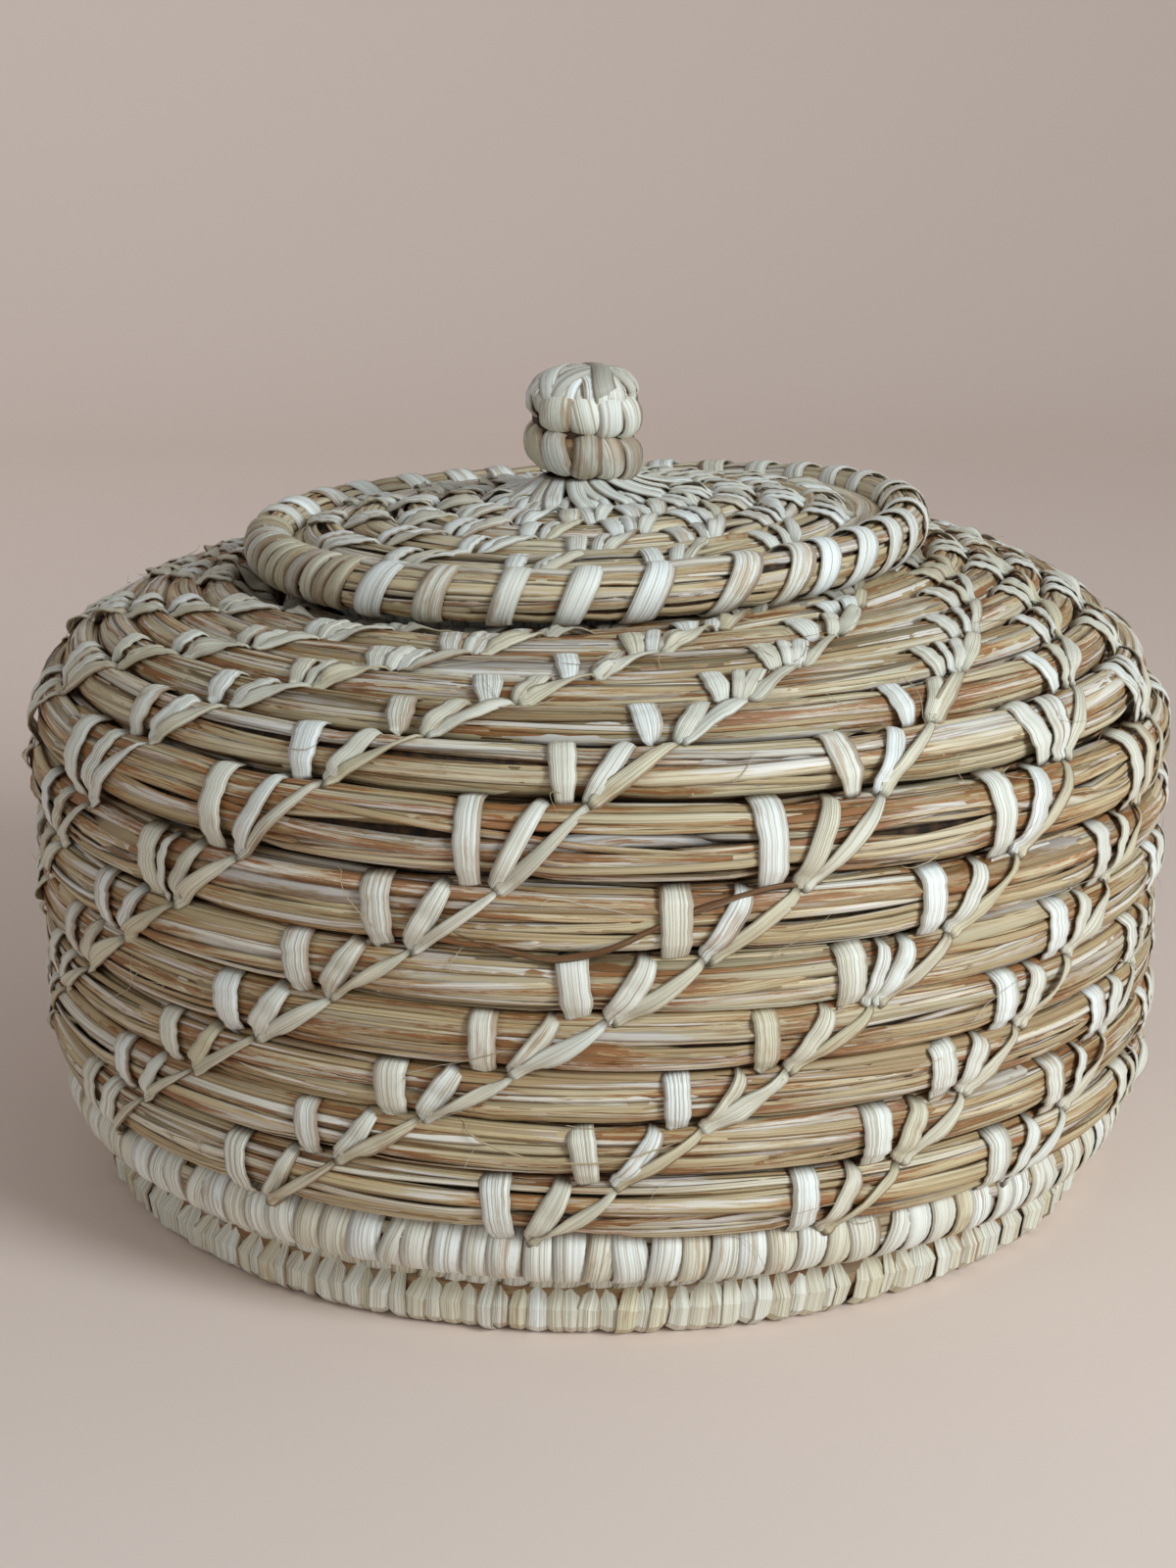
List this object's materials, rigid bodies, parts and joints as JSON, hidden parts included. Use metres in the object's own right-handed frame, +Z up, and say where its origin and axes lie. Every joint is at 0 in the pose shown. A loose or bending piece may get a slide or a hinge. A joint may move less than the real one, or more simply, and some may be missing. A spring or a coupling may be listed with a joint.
{
  "type": "lidded coiled grass basket",
  "caption": "Round coiled grass basket with palm strip stitches, a low shoulder, and a domed coiled lid with a wound knob that lifts off.",
  "frame": {"origin": "middle of the bounding box at the surface that the foot ring stands on", "axes": "+Z up through the mouth and the lid's knob, -Y towards the front, +X to the right seen from the front"},
  "size_m": [0.2418, 0.2413, 0.1675],
  "materials": {
    "grass": "dry grass bundle, matte",
    "palm": "bleached palm strip, matte with fine fibres"
  },
  "bodies": {
    "basket": {"foot_coil": "palm", "base_coil": "grass", "base_start_knot": "palm", "band_coil": "palm", "wall_coil": "grass", "stitch_rib_01": "palm", "stitch_rib_02": "palm", "stitch_rib_03": "palm", "stitch_rib_04": "palm", "stitch_rib_05": "palm", "stitch_rib_06": "palm", "stitch_rib_07": "palm", "stitch_rib_08": "palm", "stitch_rib_09": "palm", "stitch_rib_10": "palm", "stitch_rib_11": "palm", "stitch_rib_12": "palm", "stitch_rib_13": "palm", "stitch_rib_14": "palm", "stitch_rib_15": "palm"},
    "lid": {"lid_rim_coil": "grass", "lid_coil": "grass", "lid_seat_ring": "palm", "lid_stitch_01": "palm", "lid_stitch_02": "palm", "lid_stitch_03": "palm", "lid_stitch_04": "palm", "lid_stitch_05": "palm", "lid_stitch_06": "palm", "lid_stitch_07": "palm", "lid_stitch_08": "palm", "lid_stitch_09": "palm", "knob_coil": "palm", "knob_core": "palm"}
  },
  "joints": [
    {"name": "lid_lift", "type": "slide", "parent": "basket", "child": "lid", "axis": [0, 0, 1], "range_m": [0, 0.12]}
  ]
}
